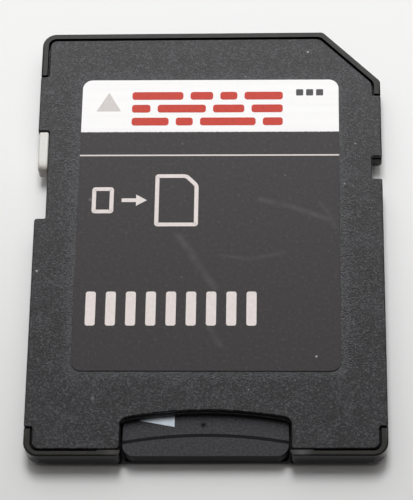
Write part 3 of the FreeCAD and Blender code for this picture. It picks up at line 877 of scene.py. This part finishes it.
# Greyer and browner in patches towards the rear end.
rear_grey = add(tree, "ShaderNodeMath", {0: rear.outputs[0], 1: grey_patches.outputs["Fac"]}, operation="MULTIPLY")
colour = add(tree, "ShaderNodeMix",
             {"Factor": rear_grey.outputs[0], "A": linear("#d3d2cd"), "B": linear("#8a7d76")},
             data_type="RGBA")
surface = add(tree, "ShaderNodeBsdfPrincipled",
              {"Base Color": colour.outputs["Result"], "Roughness": 0.42, "IOR": 1.48})
end_material(tree, surface)
print("smear from y", REAR_GREY_START, "to", REAR_GREY_END, "mm")

# %% Lock switch
SWITCH_EDGE = 0.03
finished_copy("lock_switch", "moulding", switch_plastic, SWITCH_EDGE)

# %% [markdown]
# ## Small card
#
# The small card is one block of black epoxy moulded round its chips, in a mould that was finely
# sand-blasted. The step up to the grip ridge is painted near-black and the rear face is painted darker
# than the top: both are painted shade. Both could be materials of their own, but masks by height and by
# distance from the rear need no cuts in the mesh.
# A bubble in the resin has left one small pit beside the ridge. It has no hollow in the mesh, and its shade
# is painted as a near-black spot.

# %% Places on the small card
REAR_SHADE_BAND = 0.03
CARD_FACE = 1.30
STEP_HALF = 0.115
CARD_PITS = [(0.26, 1.0, (-0.16, -13.57))]
card_low, card_high = (Vector(corner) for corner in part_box("inner_card_body"))
step_middle = (CARD_FACE * MM + card_high.z) / 2
card_plastic, tree, place = start_material("black_epoxy_moulding")
spot = add(tree, "ShaderNodeSeparateXYZ", {"Vector": place})
on_top = add(tree, "ShaderNodeMapRange",
             {"Value": spot.outputs["Y"], "From Min": card_low.y,
              "From Max": card_low.y + REAR_SHADE_BAND * MM})
on_step = add(tree, "ShaderNodeMath",
              {0: spot.outputs["Z"], 1: step_middle, 2: STEP_HALF * MM},
              operation="COMPARE")
pit = speck_mask(tree, place, CARD_PITS, 0.0)
print("the grip ridge rises to z", round(card_high.z / MM, 2), "mm")

# %% Black epoxy moulding
# Blasted epoxy looks dull and very even, with a faint grain. Its dark grey top is partly painted sheen.
# Real dimples are about 0.05 mm wide. They are drawn three times as wide, so that they show.
BLAST_MM = 0.16
DIMPLE_MM = 0.04
blast = add(tree, "ShaderNodeTexNoise",
            {"Vector": place, "Scale": per_metre(BLAST_MM), "Detail": 3.0}).outputs["Fac"]
dimples = add(tree, "ShaderNodeBump", {"Height": blast, "Strength": 0.3, "Distance": DIMPLE_MM * MM})
speck = add(tree, "ShaderNodeMapRange", {"Value": blast, "From Min": 0.2, "From Max": 0.8})
blasted = add(tree, "ShaderNodeMix",
              {"Factor": speck.outputs[0], "A": linear("#28282a"), "B": linear("#46464a")},
              data_type="RGBA")
# Painted shade: the step up to the ridge is near-black.
stepped = add(tree, "ShaderNodeMix",
              {"Factor": on_step.outputs[0], "A": blasted.outputs["Result"], "B": linear("#171719")},
              data_type="RGBA")
# Painted shade: the rear face is darker than the top.
tint = add(tree, "ShaderNodeMix",
           {"Factor": on_top.outputs[0], "A": linear("#232325"), "B": stepped.outputs["Result"]},
           data_type="RGBA")
# Painted shade: the pit is a near-black spot with no sheen.
pitted = add(tree, "ShaderNodeMix",
             {"Factor": pit, "A": tint.outputs["Result"], "B": linear("#020203")},
             data_type="RGBA")
gloss = add(tree, "ShaderNodeMapRange", {"Value": pit, "To Min": 0.45, "To Max": 1.0})
surface = add(tree, "ShaderNodeBsdfPrincipled",
              {"Base Color": pitted.outputs["Result"], "IOR": 1.55, "Specular IOR Level": 0.06,
               "Roughness": gloss.outputs[0], "Normal": dimples.outputs[0]})
end_material(tree, surface)
print("sand-blasted grain of", BLAST_MM, "mm")

# %% Small card
CARD_EDGE = 0.014
finished_copy("inner_card_body", "moulding", card_plastic, CARD_EDGE)

# %% [markdown]
# The small card has print of its own. All that shows beside the finger cut-out is the corner of a pale
# wedge. It starts as the same triangle as the arrows, and its corners are moved to their places.

# %% Wedge on the small card
START_RADIUS = 1.0
WEDGE_TIP = (-4.4, -13.26)
WEDGE_NEAR = (-2.07, -13.7)
WEDGE_FAR = (-2.07, -11.0)
ON_SMALL_CARD = (CARD_FACE * MM, "inner_card", "card_moulding", 0.0)
wedge = flat_arrow(0.0, 0.0, START_RADIUS, 0.0)
for vertex, (x, y) in zip(wedge.data.vertices, (WEDGE_FAR, WEDGE_TIP, WEDGE_NEAR)):
    vertex.co = (x * MM, y * MM, 0.0)
ink_piece("wedge_ink", [wedge], inks["blue_grey_screen_ink"], *ON_SMALL_CARD)

# %% [markdown]
# ## Metal pieces
#
# The contact leads are stamped from bronze strip and gold plated, the small card's pads are plated too, and
# the side spring is rolled steel. Plating follows the strip below it, so it shows fine lines along the
# strip, and every push into a camera has dragged a few brighter lines along the contacts. Each line could
# be a scratch of its own, but a noise that is stretched along the card gives both. It sets the colour, the
# gloss and a slight bump.

# %% Gold plating and spring steel
# Gold looks warm and softly mirror-like, steel cool and grey. Rolling and wiping leave lines about 0.04 mm
# apart, which are drawn at 0.08 mm so that they show.
STREAK_MM = 0.08
STREAK_STRETCH = 0.04
GROOVE_MM = 0.01
METAL_TONES = {
    "gold_plated_bronze": ("#c9974a", "#f0cd86", 0.20, 0.38),
    "rolled_spring_steel": ("#9b9995", "#c9c7c2", 0.24, 0.42),
}
metals = {}
for name, (deep, light, smooth, rough) in METAL_TONES.items():
    metals[name], tree, place = start_material(name)
    drawn_out = add(tree, "ShaderNodeMapping",
                    {"Vector": place, "Scale": (1.0, STREAK_STRETCH, 1.0)}).outputs[0]
    streaks = add(tree, "ShaderNodeTexNoise",
                  {"Vector": drawn_out, "Scale": per_metre(STREAK_MM), "Detail": 4.0}).outputs["Fac"]
    tint = add(tree, "ShaderNodeMix",
               {"Factor": streaks, "A": linear(deep), "B": linear(light)},
               data_type="RGBA")
    gloss = add(tree, "ShaderNodeMapRange",
                {"Value": streaks, "From Min": 0.3, "From Max": 0.7, "To Min": smooth, "To Max": rough})
    lines = add(tree, "ShaderNodeBump", {"Height": streaks, "Strength": 0.2, "Distance": GROOVE_MM * MM})
    surface = add(tree, "ShaderNodeBsdfPrincipled",
                  {"Base Color": tint.outputs["Result"], "Metallic": 1.0, "Roughness": gloss.outputs[0],
                   "Normal": lines.outputs[0]})
    end_material(tree, surface)
print("metals:", ", ".join(metals))

# %% Stamped pieces
METALS = {"spring_steel": metals["rolled_spring_steel"], "gold_plating": metals["gold_plated_bronze"]}
METAL_EDGE = 0.012
for node_name, slot_name in SLOTS.items():
    if slot_name in METALS:
        finished_copy(node_name, "stamping", METALS[slot_name], METAL_EDGE)

# %% [markdown]
# ## Close
#
# The last step brings the scene up to date.

# %% Bring the scene up to date
bpy.context.view_layer.update()
